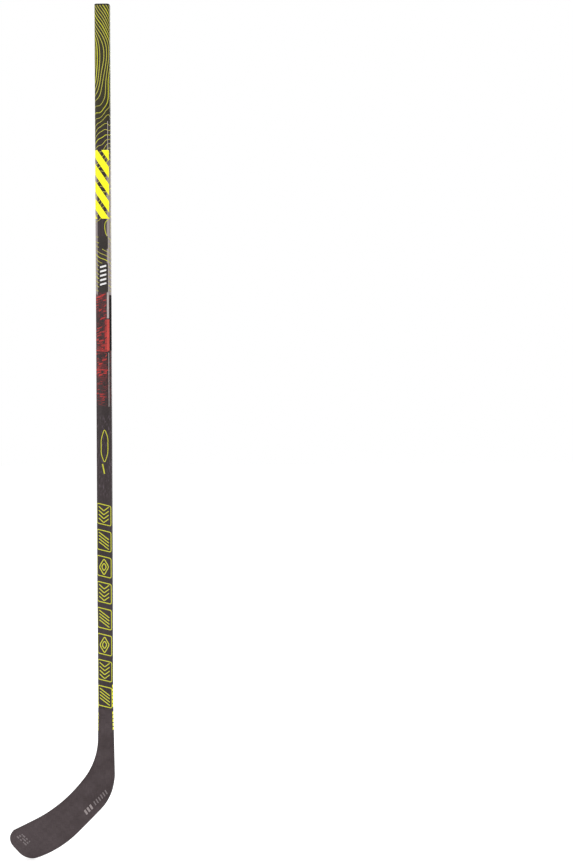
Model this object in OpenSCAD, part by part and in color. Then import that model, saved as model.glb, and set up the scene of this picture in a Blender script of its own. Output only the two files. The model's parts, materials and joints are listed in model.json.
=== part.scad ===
// Ice hockey stick: a hollow composite shaft with a solid curved blade bonded into its lower end.
// The origin is the middle of the end plug's outer face. +Z runs out of the butt end, -X points
// along the blade to its toe, and the blade curves towards +Y, away from its backhand side.

/* [Stick] */
// Length from the butt end down to the heel
stick_l = 1524; // [1400:1:1600]
// Height above the heel of the joint between shaft and blade
joint_h = 166; // [155:1:180]

/* [Shaft] */
// Width of the shaft's front face
shaft_w = 29; // [28:0.1:30]
// Depth of the shaft from front to back
shaft_d = 19.5; // [18:0.1:21]
// Depth of the shaft where it meets the blade
joint_d = 15; // [14:0.1:16]
// Radius of the shaft's long corners
corner_r = 5.5; // [4.5:0.1:5.8]
// Thickness of the outer woven ply
ply_t = 0.35; // [0.2:0.05:0.5]
// Thickness of the tube wall under the ply
tube_t = 1.5; // [1.2:0.05:2]
// Height above the heel where the shaft starts to thin
taper_top_h = 420; // [350:1:500]
// Height above the heel where the shaft stops thinning
taper_end_h = 260; // [255:1:300]

/* [End plug] */
// Thickness of the flange that covers the end of the tube
flange_t = 2; // [1.5:0.1:3]
// Length of the stem below the flange
stem_l = 42; // [35:1:50]
// Gap between the stem's ribs and the tube
stem_gap = 0.1; // [0.05:0.05:0.2]
// Number of ribs round the stem
rib_count = 4; // [2:1:5]
// Thickness of each rib
rib_t = 1.6; // [1:0.1:2.5]
// Height that the ribs stand out from the stem
rib_h = 1.2; // [0.8:0.1:1.5]
// Wall thickness of the stem
stem_wall = 2; // [1.5:0.1:2.5]

/* [Tenon] */
// Length of the tongue that goes up into the shaft
tongue_l = 80; // [60:1:85]
// Wall thickness of the tongue
tongue_wall = 1.4; // [1:0.1:2]
// Length of the solid foot of the tongue
foot_l = 10; // [6:1:15]
// Thickness of the adhesive round the tongue
glue_t = 0.3; // [0.2:0.05:0.4]

/* [Blade] */
// Slope of the blade below the horizontal, in degrees
blade_slope = 38; // [36:1:40]
// Distance along the blade from the heel to where it starts to curve
bow_start = 30; // [20:1:60]
// How far the toe is curved away from the shaft's plane
bow_depth = 40; // [25:1:45]
// Angle that the top edge leans over at the toe, in degrees
toe_loft = 8; // [0:1:12]
// Thickness of the blade from its middle to its toe
blade_t = 5.2; // [4.8:0.1:6]
// Thickness of each skin
skin_t = 1.15; // [0.8:0.05:1.3]
// Width of the solid rim round the blade
rim_w = 6; // [6:0.1:7]

/* [Hidden] */
$fn = 32;

// The blade is laid out from the heel, in x and height above the heel
heel_x = 12;
blade_l = 230;
// Height of the line that the loft turns about, measured across the blade
loft_axis = 30;
// Distances along the blade between which the hosel thins into the blade
thin_from = -70;
thin_to = 90;

// Corners of the blade's outline from the joint, round the toe and back up the heel: x, height, radius
OUTLINE = [
    [-shaft_w / 2, joint_h, 0],
    [-16, 64, 130],
    [-85, -22, 310],
    [-185.5, -77, 11],
    [-200.5, -98, 25],
    [-162.5, -144, 33],
    [-90.5, -112, 265],
    [10, -8.5, 93],
    [17, 32, 61],
    [shaft_w / 2, joint_h, 0]
];
// The outline's corners at the two ends of the toe edge
TOE_CORNERS = [4, 5];
// Steps round each corner
arc_steps = 12;

// Stations along the blade, and where its filling changes from the tenon to the foam cores
rows = 48;
core_row = 20;
// Lines across the blade from its top edge to its bottom edge, as fractions of its height
ACROSS = [0, 0.13, 0.26, 0.39, 0.47, 0.53, 0.61, 0.74, 0.87, 1];
cols = len(ACROSS) - 1;
// Lines on the two sides of the bridge
bridge_from = 4;
bridge_to = 5;
// Steps round each quarter of the rim's rounded edge, and its half thickness at the very edge
edge_steps = 4;
edge_flat = 0.3;

// Length of the thin slices that the shaft's taper is drawn between
slice_t = 0.1;
wall_t = ply_t + tube_t;
stem_w = shaft_w - 2 * (wall_t + stem_gap);
stem_d = shaft_d - 2 * (wall_t + stem_gap);
stem_r = corner_r - wall_t - stem_gap;
tongue_w = shaft_w - 2 * (wall_t + glue_t);
tongue_d = joint_d - 2 * (wall_t + glue_t);
tongue_r = corner_r - wall_t - glue_t;
joint_z = joint_h - stick_l;
// The neck keys the tongue into the solid block below it
neck_l = 8;
neck_inset = 1;

// ---- Outline of the blade ----

function unit(v) = v / norm(v);

function turned(v, a) = [v.x * cos(a) - v.y * sin(a), v.x * sin(a) + v.y * cos(a)];

function xy(p) = [p.x, p.y];

// Points round the corner p, between the corners a and b
function corner_arc(a, p, b, r) =
    let (to_a = unit(a - p), to_b = unit(b - p), half = acos(to_a * to_b) / 2,
         centre = p + unit(to_a + to_b) * r / sin(half),
         start = p + to_a * r / tan(half) - centre,
         turn = sign(cross(start, p - centre)) * (180 - 2 * half))
    [for (k = [0:arc_steps]) centre + turned(start, turn * k / arc_steps)];

last_corner = len(OUTLINE) - 1;
outline_path = concat(
    [xy(OUTLINE[0])],
    [for (i = [1:last_corner - 1])
        each corner_arc(xy(OUTLINE[i - 1]), xy(OUTLINE[i]), xy(OUTLINE[i + 1]), OUTLINE[i][2])],
    [xy(OUTLINE[last_corner])]);

// Place in the path of the middle of a corner's arc
function mid_corner(i) = 1 + (i - 1) * (arc_steps + 1) + arc_steps / 2;

function part_of(path, from, to) = [for (i = [from:to]) path[i]];

// Distance from the start of a path to each of its points
function distances(path, i = 0, s = 0) =
    i == len(path) - 1 ? [s] : concat([s], distances(path, i + 1, s + norm(path[i + 1] - path[i])));

// Points at the given fractions of a path's length
function spaced(path, fractions) =
    let (s = distances(path), total = s[len(s) - 1],
         xs = [for (i = [0:len(s) - 1]) [s[i], path[i].x]],
         ys = [for (i = [0:len(s) - 1]) [s[i], path[i].y]])
    [for (f = fractions) [lookup(f * total, xs), lookup(f * total, ys)]];

toe_start = mid_corner(TOE_CORNERS[0]);
toe_end = mid_corner(TOE_CORNERS[1]);
// The outer edge, as stations down the top edge, round the toe and back along the bottom edge
outer_loop = concat(
    spaced(part_of(outline_path, 0, toe_start), [for (i = [0:rows]) i / rows]),
    spaced(part_of(outline_path, toe_start, toe_end), [for (j = [1:cols]) ACROSS[j]]),
    spaced(part_of(outline_path, toe_end, len(outline_path) - 1), [for (i = [1:rows]) i / rows]));
last_station = len(outer_loop) - 1;

// Direction into the blade from a station on its edge, level at the joint
function inward(k) =
    k == 0 ? [1, 0] : k == last_station ? [-1, 0] :
    let (d = unit(outer_loop[k + 1] - outer_loop[k - 1])) [-d.y, d.x];

inner_loop = [for (k = [0:last_station]) outer_loop[k] + rim_w * inward(k)];

// Point of the field inside the rim, at a row along the blade and a line across it
function field(i, j) =
    let (u = i / rows, v = ACROSS[j],
         top = inner_loop[i], bottom = inner_loop[last_station - i],
         hosel_top = inner_loop[0], hosel_bottom = inner_loop[last_station],
         toe_top = inner_loop[rows], toe_bottom = inner_loop[rows + cols],
         hosel = (1 - v) * hosel_top + v * hosel_bottom, toe = inner_loop[rows + j])
    (1 - v) * top + v * bottom + (1 - u) * hosel + u * toe
    - (1 - u) * ((1 - v) * hosel_top + v * hosel_bottom)
    - u * ((1 - v) * toe_top + v * toe_bottom);

// ---- Depth of the blade ----

function ease(s) = let (c = min(1, max(0, s))) c * c * (3 - 2 * c);

// Distance of a point along the blade from the heel, and across it
function along(p) = (heel_x - p.x) * cos(blade_slope) - p.y * sin(blade_slope);
function across(p) = (heel_x - p.x) * sin(blade_slope) + p.y * cos(blade_slope);

// Middle surface of the blade: bowed along its length and lofted towards the toe
function mid_y(p) =
    let (t = along(p))
    bow_depth * pow(max(0, t - bow_start) / (blade_l - bow_start), 2)
    - tan(toe_loft) * ease(t / blade_l) * (across(p) - loft_axis);

// Half the thickness of the hosel and blade
function half_t(p) =
    blade_t / 2 + (joint_d - blade_t) / 2 * (1 - ease((along(p) - thin_from) / (thin_to - thin_from)));

// ---- Solids of the blade ----

// A point at a depth given from the middle surface
function at_depth(p, d) = [p.x, mid_y(p) + d, p.y];

// A closed slab over part of the field. side is -1 or 1, and front and back are insets from
// the blade's two faces: the slab runs from one depth to the other.
module slab(row_from, row_to, col_from, col_to, front, back) {
    n_rows = row_to - row_from;
    n_cols = col_to - col_from;
    width = n_cols + 1;
    layer = (n_rows + 1) * width;
    spots = [for (i = [row_from:row_to], j = [col_from:col_to]) field(i, j)];
    cells = [for (i = [0:n_rows - 1], j = [0:n_cols - 1]) i * width + j];
    polyhedron(
        points = concat(
            [for (p = spots) at_depth(p, front[0] * half_t(p) + front[1])],
            [for (p = spots) at_depth(p, back[0] * half_t(p) + back[1])]),
        faces = concat(
            [for (a = cells) each [[a, a + 1, a + width + 1], [a, a + width + 1, a + width]]],
            [for (a = cells) let (b = a + layer)
                each [[b, b + width + 1, b + 1], [b, b + width, b + width + 1]]],
            [for (j = [0:n_cols - 1]) let (a = j, z = n_rows * width + j)
                each [[a + 1, a, a + layer, a + 1 + layer], [z, z + 1, z + 1 + layer, z + layer]]],
            [for (i = [0:n_rows - 1]) let (a = i * width, z = a + n_cols)
                each [[a, a + width, a + width + layer, a + layer],
                      [z + width, z, z + layer, z + width + layer]]]));
}

// Half profile of the rim: distance in from the edge, and half thickness there
function rim_profile(t) =
    let (r = min(corner_r, t - edge_flat))
    concat(
        [for (k = [0:edge_steps]) let (a = 90 * k / edge_steps) [r * (1 - cos(a)), t - r + r * sin(a)]],
        [[rim_w, t]]);

// Cross-section of the rim at a station, from its backhand face round the edge to its forehand face
function rim_section(k) =
    let (edge = outer_loop[k], n = (inner_loop[k] - edge) / rim_w,
         steps = edge_steps + 1, full = [for (s = [0:steps]) s])
    concat(
        [for (s = full) let (d = rim_profile(half_t(edge))[steps - s][0], p = edge + d * n)
            at_depth(p, -rim_profile(half_t(p))[steps - s][1])],
        [for (s = full) let (d = rim_profile(half_t(edge))[s][0], p = edge + d * n)
            at_depth(p, rim_profile(half_t(p))[s][1])]);

module blade_rim() color([0.34, 0.30, 0.30]) translate([0, 0, -stick_l]) {
    sections = [for (k = [0:last_station]) rim_section(k)];
    n = len(sections[0]);
    polyhedron(
        points = [for (section = sections) each section],
        faces = concat(
            [[for (j = [0:n - 1]) j]],
            [[for (j = [n - 1:-1:0]) last_station * n + j]],
            [for (k = [0:last_station - 1], j = [0:n - 1])
                let (a = k * n + j, b = k * n + (j + 1) % n)
                each [[a, a + n, b + n], [a, b + n, b]]]));
}

module backhand_skin() color([0.30, 0.26, 0.27]) translate([0, 0, -stick_l])
    slab(0, rows, 0, cols, [-1, 0], [-1, skin_t]);

module forehand_skin() color([0.30, 0.26, 0.27]) translate([0, 0, -stick_l])
    slab(0, rows, 0, cols, [1, -skin_t], [1, 0]);

module upper_core() color([0.86, 0.84, 0.76]) translate([0, 0, -stick_l])
    slab(core_row, rows, 0, bridge_from, [-1, skin_t], [1, -skin_t]);

module lower_core() color([0.86, 0.84, 0.76]) translate([0, 0, -stick_l])
    slab(core_row, rows, bridge_to, cols, [-1, skin_t], [1, -skin_t]);

module core_bridge() color([0.16, 0.16, 0.17]) translate([0, 0, -stick_l])
    slab(core_row, rows, bridge_from, bridge_to, [-1, skin_t], [1, -skin_t]);

// ---- Shaft ----

// A rectangle with round corners
module section(w, d, r) {
    square([w - 2 * r, d], center = true);
    square([w, d - 2 * r], center = true);
    for (x = [-1, 1], y = [-1, 1]) translate([x * (w / 2 - r), y * (d / 2 - r)]) circle(r);
}

// Section of the shaft, drawn in by inset, at a place where its depth is d
module shaft_section(d, inset) section(shaft_w - 2 * inset, d - 2 * inset, corner_r - inset);

// Solid form of the shaft, drawn in by inset and run past both ends by over
module shaft_form(inset, over) {
    taper_top_z = taper_top_h - stick_l;
    taper_end_z = taper_end_h - stick_l;
    translate([0, 0, taper_top_z]) linear_extrude(-flange_t + over - taper_top_z)
        shaft_section(shaft_d, inset);
    hull() {
        translate([0, 0, taper_top_z - slice_t]) linear_extrude(slice_t) shaft_section(shaft_d, inset);
        translate([0, 0, taper_end_z]) linear_extrude(slice_t) shaft_section(joint_d, inset);
    }
    translate([0, 0, joint_z - over]) linear_extrude(taper_end_z - joint_z + over)
        shaft_section(joint_d, inset);
}

// A layer of the shaft's wall, from one inset to another
module shaft_layer(inset, thickness) difference() {
    shaft_form(inset, 0);
    shaft_form(inset + thickness, 1);
}

module shaft_tube() color([0.15, 0.14, 0.14]) shaft_layer(ply_t, tube_t);

module shaft_outer_ply() color([0.27, 0.23, 0.22]) shaft_layer(0, ply_t);

// ---- End plug ----

module end_plug() color([0.12, 0.11, 0.11]) {
    translate([0, 0, -flange_t]) linear_extrude(flange_t) section(shaft_w, shaft_d, corner_r);
    translate([0, 0, -flange_t - stem_l]) linear_extrude(stem_l) difference() {
        section(stem_w - 2 * rib_h, stem_d - 2 * rib_h, stem_r - rib_h);
        section(stem_w - 2 * (rib_h + stem_wall), stem_d - 2 * (rib_h + stem_wall), stem_wall / 4);
    }
    rib_pitch = (stem_l - rib_t) / rib_count;
    for (i = [1:rib_count]) translate([0, 0, -flange_t - i * rib_pitch]) linear_extrude(rib_t)
        difference() {
            section(stem_w, stem_d, stem_r);
            section(stem_w - 3 * rib_h, stem_d - 3 * rib_h, stem_r - 1.5 * rib_h);
        }
}

// ---- Tenon ----

module hosel_tenon() color([0.18, 0.17, 0.17]) {
    translate([0, 0, -stick_l]) slab(0, core_row, 0, cols, [-1, skin_t], [1, -skin_t]);
    translate([0, 0, joint_z]) linear_extrude(foot_l) section(tongue_w, tongue_d, tongue_r);
    translate([0, 0, joint_z + foot_l]) linear_extrude(tongue_l - foot_l) difference() {
        section(tongue_w, tongue_d, tongue_r);
        section(tongue_w - 2 * tongue_wall, tongue_d - 2 * tongue_wall, tongue_r - tongue_wall);
    }
    translate([0, 0, joint_z - neck_l]) linear_extrude(2 * neck_l)
        square([shaft_w - 2 * (rim_w + neck_inset), tongue_d - 2 * neck_inset], center = true);
}

module tenon_foam() color([0.86, 0.84, 0.76]) translate([0, 0, joint_z + foot_l])
    linear_extrude(tongue_l - foot_l)
        section(tongue_w - 2 * tongue_wall, tongue_d - 2 * tongue_wall, tongue_r - tongue_wall);

module tenon_adhesive() color([0.80, 0.72, 0.45]) translate([0, 0, joint_z]) linear_extrude(tongue_l)
    difference() {
        section(tongue_w + 2 * glue_t, tongue_d + 2 * glue_t, tongue_r + glue_t);
        section(tongue_w, tongue_d, tongue_r);
    }

end_plug();
shaft_tube();
shaft_outer_ply();
tenon_adhesive();
tenon_foam();
hosel_tenon();
backhand_skin();
forehand_skin();
blade_rim();
upper_core();
lower_core();
core_bridge();
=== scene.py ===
"""Looks of the ice hockey stick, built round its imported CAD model.

Lengths are in millimetres up to piece(), which makes them metres. Materials, lights and the camera
are in metres. s is the distance round the shaft from the middle of its front face, towards +X, and
z is the height in the model's frame.
"""

import json
import math
import random

import bpy
import numpy as np
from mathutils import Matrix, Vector

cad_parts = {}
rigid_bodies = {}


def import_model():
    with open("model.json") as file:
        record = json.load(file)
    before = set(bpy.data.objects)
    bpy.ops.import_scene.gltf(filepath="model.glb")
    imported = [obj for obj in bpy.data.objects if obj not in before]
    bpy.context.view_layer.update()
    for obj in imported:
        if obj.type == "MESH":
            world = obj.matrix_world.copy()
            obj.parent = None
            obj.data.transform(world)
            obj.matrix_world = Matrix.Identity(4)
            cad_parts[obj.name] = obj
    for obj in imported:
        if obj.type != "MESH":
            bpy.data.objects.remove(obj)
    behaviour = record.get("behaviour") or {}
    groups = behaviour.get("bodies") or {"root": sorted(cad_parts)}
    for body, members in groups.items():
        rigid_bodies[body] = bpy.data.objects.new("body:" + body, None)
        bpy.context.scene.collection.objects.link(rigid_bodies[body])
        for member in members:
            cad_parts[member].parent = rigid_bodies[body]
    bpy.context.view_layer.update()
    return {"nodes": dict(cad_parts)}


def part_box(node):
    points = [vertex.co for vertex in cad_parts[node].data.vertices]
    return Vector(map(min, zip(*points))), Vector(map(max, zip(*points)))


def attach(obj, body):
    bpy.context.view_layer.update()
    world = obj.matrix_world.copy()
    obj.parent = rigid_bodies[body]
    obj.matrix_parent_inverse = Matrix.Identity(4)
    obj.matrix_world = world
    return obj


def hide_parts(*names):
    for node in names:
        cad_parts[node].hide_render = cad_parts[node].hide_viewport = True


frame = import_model()

MM = 0.001


# ---------------- sizes

def box_mm(node):
    low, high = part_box(node)
    return low / MM, high / MM


ply_low, ply_high = box_mm("shaft_outer_ply")
plug_low, plug_high = box_mm("end_plug")
rim_low, _ = box_mm("blade_rim")

SHAFT_W = ply_high.x - ply_low.x
SHAFT_D = ply_high.y - ply_low.y
SHAFT_TOP = ply_high.z
JOINT_Z = ply_low.z
CORNER_R = 5.5
PLY_T = 0.35
TUBE_T = 1.5
END_CHAMFER = 0.15

# End plug: a flange with a shallow recess, over a hollow stem with ribs round it
STEM_GAP = 0.1
STEM_WALL = 2
RIB_COUNT = 4
RIB_T = 1.6
RIB_H = 1.2
RECESS_D = 0.35
LIP_R = 0.45

# The heel is the blade's own zero height, and the shaft's depth thins between two heights above it
JOINT_H = 166
HEEL_Z = JOINT_Z - JOINT_H
JOINT_D = 15
TAPER_TOP_Z = HEEL_Z + 420
TAPER_END_Z = HEEL_Z + 260

# Half the flats of the wide and the narrow faces, and the arc of a corner between them
FLAT = SHAFT_W / 2 - CORNER_R
SIDE = SHAFT_D / 2 - CORNER_R
ARC = CORNER_R * math.pi / 2
QUARTER = FLAT + ARC + SIDE
GIRTH = 4 * QUARTER
CORNER_STEPS = 10

# Blade: its outline's corners from the joint, round the toe and back up the heel, as x, height
# above the heel and radius, and the numbers that shape its depth
OUTLINE = [
    (-SHAFT_W / 2, JOINT_H, 0),
    (-16, 64, 130),
    (-85, -22, 310),
    (-185.5, -77, 11),
    (-200.5, -98, 25),
    (-162.5, -144, 33),
    (-90.5, -112, 265),
    (10, -8.5, 93),
    (17, 32, 61),
    (SHAFT_W / 2, JOINT_H, 0),
]
TOE_CORNERS = (4, 5)
HEEL_X = 12
BLADE_L = 230
BLADE_SLOPE = math.radians(38)
BOW_START = 30
BOW_DEPTH = 40
TOE_LOFT = math.radians(8)
LOFT_AXIS = 30
THIN_FROM = -70
THIN_TO = 90
BLADE_T = 5.2
SKIN_T = 1.15
RIM_W = 6
EDGE_FLAT = 0.3
ROWS = 150
COLS = 30
ARC_STEPS = 24


def clamp(value, low=0.0, high=1.0):
    return max(low, min(high, value))


def ease(share):
    c = clamp(share)
    return c * c * (3 - 2 * c)


# ---------------- pieces

def into_scene(name, data):
    made = bpy.data.objects.new(name, data)
    bpy.context.scene.collection.objects.link(made)
    return made


def piece(name, points, faces, material, sharp=40, uvs=None):
    """A mesh from points in millimetres, smooth but for edges sharper than an angle"""
    mesh = bpy.data.meshes.new(name)
    mesh.from_pydata([Vector(p) * MM for p in points], [], faces)
    if uvs:
        layer = mesh.uv_layers.new(name="wrap")
        layer.data.foreach_set("uv", [c * MM for corners in uvs for uv in corners for c in uv])
    mesh.materials.append(material)
    mesh.shade_smooth()
    mesh.set_sharp_from_angle(angle=math.radians(sharp))
    return into_scene(name, mesh)


def distances(line):
    """How far along a line each of its points lies"""
    made = [0.0]
    for p, q in zip(line, line[1:]):
        made.append(made[-1] + (Vector(q) - Vector(p)).length)
    return made


def lofted(name, rings, material, sharp=40, inside_out=False, join_ends=False, wrap=False):
    """A piece with a skin over equal closed rings. Its ends are capped, or joined in a loop."""
    count = len(rings[0])
    spans = len(rings) if join_ends else len(rings) - 1
    around = distances(rings[0] + rings[0][:1])
    along = distances([ring[0] for ring in rings + rings[:1]])
    faces, uvs = [], []
    for i in range(spans):
        a, b = i * count, (i + 1) % len(rings) * count
        for j in range(count):
            k = (j + 1) % count
            faces.append((a + j, a + k, b + k, b + j))
            uvs.append([(around[j], along[i]), (around[j + 1], along[i]),
                        (around[j + 1], along[i + 1]), (around[j], along[i + 1])])
    if not join_ends:
        last = (len(rings) - 1) * count
        faces += [tuple(range(count))[::-1], tuple(range(last, last + count))]
        uvs += [[(0, 0)] * count] * 2
    if inside_out:
        faces = [f[::-1] for f in faces]
        uvs = [corners[::-1] for corners in uvs]
    points = [p for ring in rings for p in ring]
    return piece(name, points, faces, material, sharp, uvs if wrap else None)


# ---------------- shaft

def shaft_depth(z):
    """Front to back, which is even down to the taper and from its end on"""
    share = clamp((TAPER_TOP_Z - z) / (TAPER_TOP_Z - TAPER_END_Z))
    return SHAFT_D + (JOINT_D - SHAFT_D) * share


def spread(z, side):
    """How far the hosel's edge stands out past the shaft's, on one side, below the joint"""
    near, corner = (OUTLINE[-1], OUTLINE[-2]) if side > 0 else (OUTLINE[0], OUTLINE[1])
    return max(0, JOINT_Z - z) * (abs(corner[0]) - abs(near[0])) / (near[1] - corner[1])


def on_shaft(s, z, lift):
    """Point at s round the shaft, at a height, stood off the surface by lift"""
    s = (s + GIRTH / 2) % GIRTH - GIRTH / 2
    side = 1 if s >= 0 else -1
    s = abs(s)
    face = 1 if s > QUARTER else -1
    s = min(s, 2 * QUARTER - s)
    half_d = shaft_depth(z) / 2
    if s <= FLAT:
        x, y = s, half_d + lift
    elif s <= FLAT + ARC:
        turn = (s - FLAT) / CORNER_R
        x = FLAT + (CORNER_R + lift) * math.sin(turn)
        y = half_d - CORNER_R + (CORNER_R + lift) * math.cos(turn)
    else:
        x = SHAFT_W / 2 + lift
        y = (half_d - CORNER_R) * (QUARTER - s) / SIDE
    return side * (x + spread(z, side)), face * y, z


def ring_stops():
    """Places s right round the shaft, close together on its corners"""
    first = [FLAT * i / 3 for i in range(3)]
    first += [FLAT + ARC * i / CORNER_STEPS for i in range(CORNER_STEPS + 1)] + [FLAT + ARC + SIDE / 2]
    half = first + [2 * QUARTER - s for s in [QUARTER] + first[:0:-1]]
    return half + [s + 2 * QUARTER for s in half]


def shaft_layer(name, inset, thickness, material):
    """A layer of the shaft's wall as a closed tube with small chamfers at its two ends"""
    chamfer = min(END_CHAMFER, thickness / 3)
    steps = 40
    heights = [SHAFT_TOP - chamfer, TAPER_TOP_Z, TAPER_END_Z, JOINT_Z + chamfer]
    heights += [SHAFT_TOP + (JOINT_Z - SHAFT_TOP) * i / steps for i in range(1, steps)]
    heights.sort(reverse=True)
    outside = [(inset, z) for z in heights]
    inside = [(inset + thickness, z) for z in reversed(heights)]
    near, far = inset + chamfer, inset + thickness - chamfer
    profile = ([(near, SHAFT_TOP)] + outside + [(near, JOINT_Z), (far, JOINT_Z)] + inside
               + [(far, SHAFT_TOP)])
    rings = [[on_shaft(s, z, -depth) for s in ring_stops()] for depth, z in profile]
    return lofted(name, rings, material, sharp=30, inside_out=True, join_ends=True, wrap=True)


# ---------------- end plug

def plug_ring(inset, z):
    """A rounded rectangle, drawn in from the shaft's outline by inset"""
    half_w, half_d = SHAFT_W / 2 - inset, SHAFT_D / 2 - inset
    r = clamp(CORNER_R - inset, 0.8, min(half_w, half_d) - 0.05)
    ring = []
    for sx, sy, start in ((1, -1, -90), (1, 1, 0), (-1, 1, 90), (-1, -1, 180)):
        for k in range(CORNER_STEPS + 1):
            a = math.radians(start + 90 * k / CORNER_STEPS)
            ring.append((sx * (half_w - r) + r * math.cos(a), sy * (half_d - r) + r * math.sin(a), z))
    return ring


def plug_profile():
    """Insets and heights from the middle of the outer face, over the rim, down the stem and up its hollow"""
    top, under, stem_end = plug_high.z, SHAFT_TOP, plug_low.z
    rib_inset = PLY_T + TUBE_T + STEM_GAP
    stem_inset = rib_inset + RIB_H
    hollow_inset = stem_inset + STEM_WALL
    pitch = (under - stem_end - RIB_T) / RIB_COUNT
    dish = [(8.2, top - RECESS_D), (4.6, top - RECESS_D), (4.1, top - 0.25), (3.8, top)]
    lip = [(LIP_R * (1 - math.sin(a)), top - LIP_R * (1 - math.cos(a)))
           for a in (math.radians(15 * k) for k in range(7))]
    rim = [(0, under + 0.15), (0.15, under), (stem_inset - 0.4, under), (stem_inset, under - 0.4)]
    stem = []
    for i in range(1, RIB_COUNT + 1):
        rib_top = under - i * pitch + RIB_T
        rib_end = rib_top - RIB_T
        stem += [(stem_inset, rib_top + 0.25), (stem_inset - 0.25, rib_top), (rib_inset + 0.2, rib_top),
                 (rib_inset, rib_top - 0.2), (rib_inset, rib_end + 0.5), (rib_inset + 0.5, rib_end)]
        if i < RIB_COUNT:
            stem += [(stem_inset - 0.25, rib_end), (stem_inset, rib_end - 0.25)]
    hollow = [(hollow_inset - 0.3, stem_end), (hollow_inset, stem_end + 0.3),
              (hollow_inset, under - 0.8), (hollow_inset + 0.8, under)]
    return dish + lip + rim + stem + hollow


def end_plug(material):
    rings = [plug_ring(inset, z) for inset, z in plug_profile()]
    return lofted("plug_moulding", rings, material, sharp=32, inside_out=True)


# ---------------- blade

def corner_arc(a, p, b, r):
    """Points round the corner p, between the corners a and b"""
    to_a, to_b = (a - p).normalized(), (b - p).normalized()
    half = to_a.angle(to_b) / 2
    centre = p + (to_a + to_b).normalized() * r / math.sin(half)
    start = p + to_a * r / math.tan(half) - centre
    out = p - centre
    turn = math.copysign(math.pi - 2 * half, start.x * out.y - start.y * out.x)
    arc = []
    for k in range(ARC_STEPS + 1):
        c, s = math.cos(turn * k / ARC_STEPS), math.sin(turn * k / ARC_STEPS)
        arc.append(centre + Vector((start.x * c - start.y * s, start.x * s + start.y * c)))
    return arc


def spaced(path, shares):
    """Points at the given shares of a path's length"""
    at = distances(path)
    xs = np.interp([f * at[-1] for f in shares], at, [p.x for p in path])
    ys = np.interp([f * at[-1] for f in shares], at, [p.y for p in path])
    return [Vector((x, y)) for x, y in zip(xs, ys)]


def blade_edge():
    """The blade's outer edge, down its top edge, round the toe and back along its bottom edge"""
    corners = [Vector(c[:2]) for c in OUTLINE]
    path = [corners[0]]
    for i in range(1, len(corners) - 1):
        path += corner_arc(corners[i - 1], corners[i], corners[i + 1], OUTLINE[i][2])
    path.append(corners[-1])
    first, last = (1 + (c - 1) * (ARC_STEPS + 1) + ARC_STEPS // 2 for c in TOE_CORNERS)
    rows = [i / ROWS for i in range(ROWS + 1)]
    return (spaced(path[:first + 1], rows)
            + spaced(path[first:last + 1], [j / COLS for j in range(1, COLS + 1)])
            + spaced(path[last:], rows[1:]))


edge = blade_edge()


def inward(k):
    if k in (0, len(edge) - 1):
        return Vector((1 if k == 0 else -1, 0))
    d = (edge[k + 1] - edge[k - 1]).normalized()
    return Vector((-d.y, d.x))


inner = [p + RIM_W * inward(k) for k, p in enumerate(edge)]


def field(i, j):
    """Point inside the rim at a row along the blade and a line across it"""
    u, v = i / ROWS, j / COLS
    top, bottom = inner[i], inner[-1 - i]
    hosel = inner[0].lerp(inner[-1], v)
    toe_chord = inner[ROWS].lerp(inner[ROWS + COLS], v)
    return top.lerp(bottom, v) + (1 - u) * hosel + u * inner[ROWS + j] - hosel.lerp(toe_chord, u)


def along(p):
    return (HEEL_X - p.x) * math.cos(BLADE_SLOPE) - p.y * math.sin(BLADE_SLOPE)


def across(p):
    return (HEEL_X - p.x) * math.sin(BLADE_SLOPE) + p.y * math.cos(BLADE_SLOPE)


def mid_y(p):
    t = along(p)
    bow = BOW_DEPTH * (max(0, t - BOW_START) / (BLADE_L - BOW_START)) ** 2
    return bow - math.tan(TOE_LOFT) * ease(t / BLADE_L) * (across(p) - LOFT_AXIS)


def half_t(p):
    thinned = ease((along(p) - THIN_FROM) / (THIN_TO - THIN_FROM))
    return BLADE_T / 2 + (JOINT_D - BLADE_T) / 2 * (1 - thinned)


def in_frame(p, y):
    """A point of the blade's own layout, at a depth, in the model's frame"""
    return p.x, mid_y(p) + y, p.y + HEEL_Z


def blade_skin(name, side, material):
    """One skin of the blade, as a closed slab. side is -1 for the backhand and 1 for the forehand."""
    spots = [field(i, j) for i in range(ROWS + 1) for j in range(COLS + 1)]
    outer = [in_frame(p, side * half_t(p)) for p in spots]
    inside = [in_frame(p, side * (half_t(p) - SKIN_T)) for p in spots]
    layer, width = len(spots), COLS + 1
    faces = []
    for i in range(ROWS):
        for j in range(COLS):
            a = i * width + j
            faces += [(a, a + width, a + width + 1, a + 1),
                      (layer + a, layer + a + 1, layer + a + width + 1, layer + a + width)]
    walls = ([(i * width, (i + 1) * width) for i in range(ROWS)]
             + [(ROWS * width + j, ROWS * width + j + 1) for j in range(COLS)]
             + [((i + 1) * width + COLS, i * width + COLS) for i in reversed(range(ROWS))]
             + [(j + 1, j) for j in reversed(range(COLS))])
    faces += [(b, a, layer + a, layer + b) for a, b in walls]
    if side > 0:
        faces = [f[::-1] for f in faces]
    return piece(name, outer + inside, faces, material)


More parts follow.
